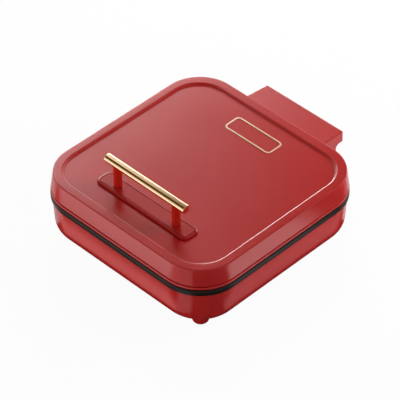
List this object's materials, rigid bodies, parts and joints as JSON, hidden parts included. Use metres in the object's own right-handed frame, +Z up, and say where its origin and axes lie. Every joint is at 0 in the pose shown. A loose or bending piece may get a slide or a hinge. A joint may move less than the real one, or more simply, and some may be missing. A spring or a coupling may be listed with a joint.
{
  "type": "sandwich maker",
  "caption": "Square sandwich maker with a hinged recessed lid, a bar handle on posts and plate, a black parting ring, rounded feet and pocketed plates.",
  "frame": {"origin": "on the table, under the centre of the footprint of the whole object with its hinge block", "axes": "+Z up from the table, +Y from the handle edge towards the hinge, +X to the right seen from the handle edge"},
  "size_m": [0.237, 0.2726, 0.1148],
  "materials": {
    "red_plastic": "satin gloss, moulded",
    "black_plastic": "satin",
    "coated_aluminium": "dark non-stick coating",
    "bare_aluminium": "rolled",
    "brass": "polished",
    "steel": "plain",
    "rubber": "matte",
    "ceramic": "glazed",
    "wire_insulation": "woven sleeve"
  },
  "bodies": {
    "base": {"base_shell": "red_plastic", "base_ring": "black_plastic", "lower_plate": "coated_aluminium", "lower_heating_element": "steel", "lower_heat_shield": "bare_aluminium", "lower_shield_screw": "steel", "lower_thermostat": "ceramic", "lower_thermal_fuse": "steel", "terminal_block": "ceramic", "supply_wire_live": "wire_insulation", "supply_wire_neutral": "wire_insulation", "cord_gland": "black_plastic", "hinge_pin_right": "steel", "hinge_pin_left": "steel", "foot_pad_rear_right": "rubber", "foot_pad_rear_left": "rubber", "foot_pad_front_left": "rubber", "foot_pad_front_right": "rubber", "base_screw_rear_right": "steel", "base_screw_rear_left": "steel", "base_screw_front_left": "steel", "base_screw_front_right": "steel", "lower_plate_screw_right": "steel", "lower_plate_screw_rear": "steel", "lower_plate_screw_left": "steel", "lower_plate_screw_front": "steel"},
    "lid": {"lid_cover": "red_plastic", "lid_ring": "red_plastic", "upper_plate": "coated_aluminium", "upper_heating_element": "steel", "upper_heat_shield": "bare_aluminium", "upper_shield_screw": "steel", "upper_thermal_fuse": "steel", "handle_plate": "red_plastic", "handle_post_right": "red_plastic", "handle_post_left": "red_plastic", "handle_bar": "brass", "handle_screw_right": "steel", "handle_screw_left": "steel", "badge_frame": "brass", "lid_screw_rear_right": "steel", "lid_screw_rear_left": "steel", "lid_screw_front_left": "steel", "lid_screw_front_right": "steel", "upper_plate_screw_right": "steel", "upper_plate_screw_rear": "steel", "upper_plate_screw_left": "steel", "upper_plate_screw_front": "steel"}
  },
  "joints": [
    {"name": "lid_hinge", "type": "hinge", "parent": "base", "child": "lid", "pos_m": [0, 0.13225, 0.0541], "axis": [-1, 0, 0], "range_deg": [0, 100]}
  ]
}
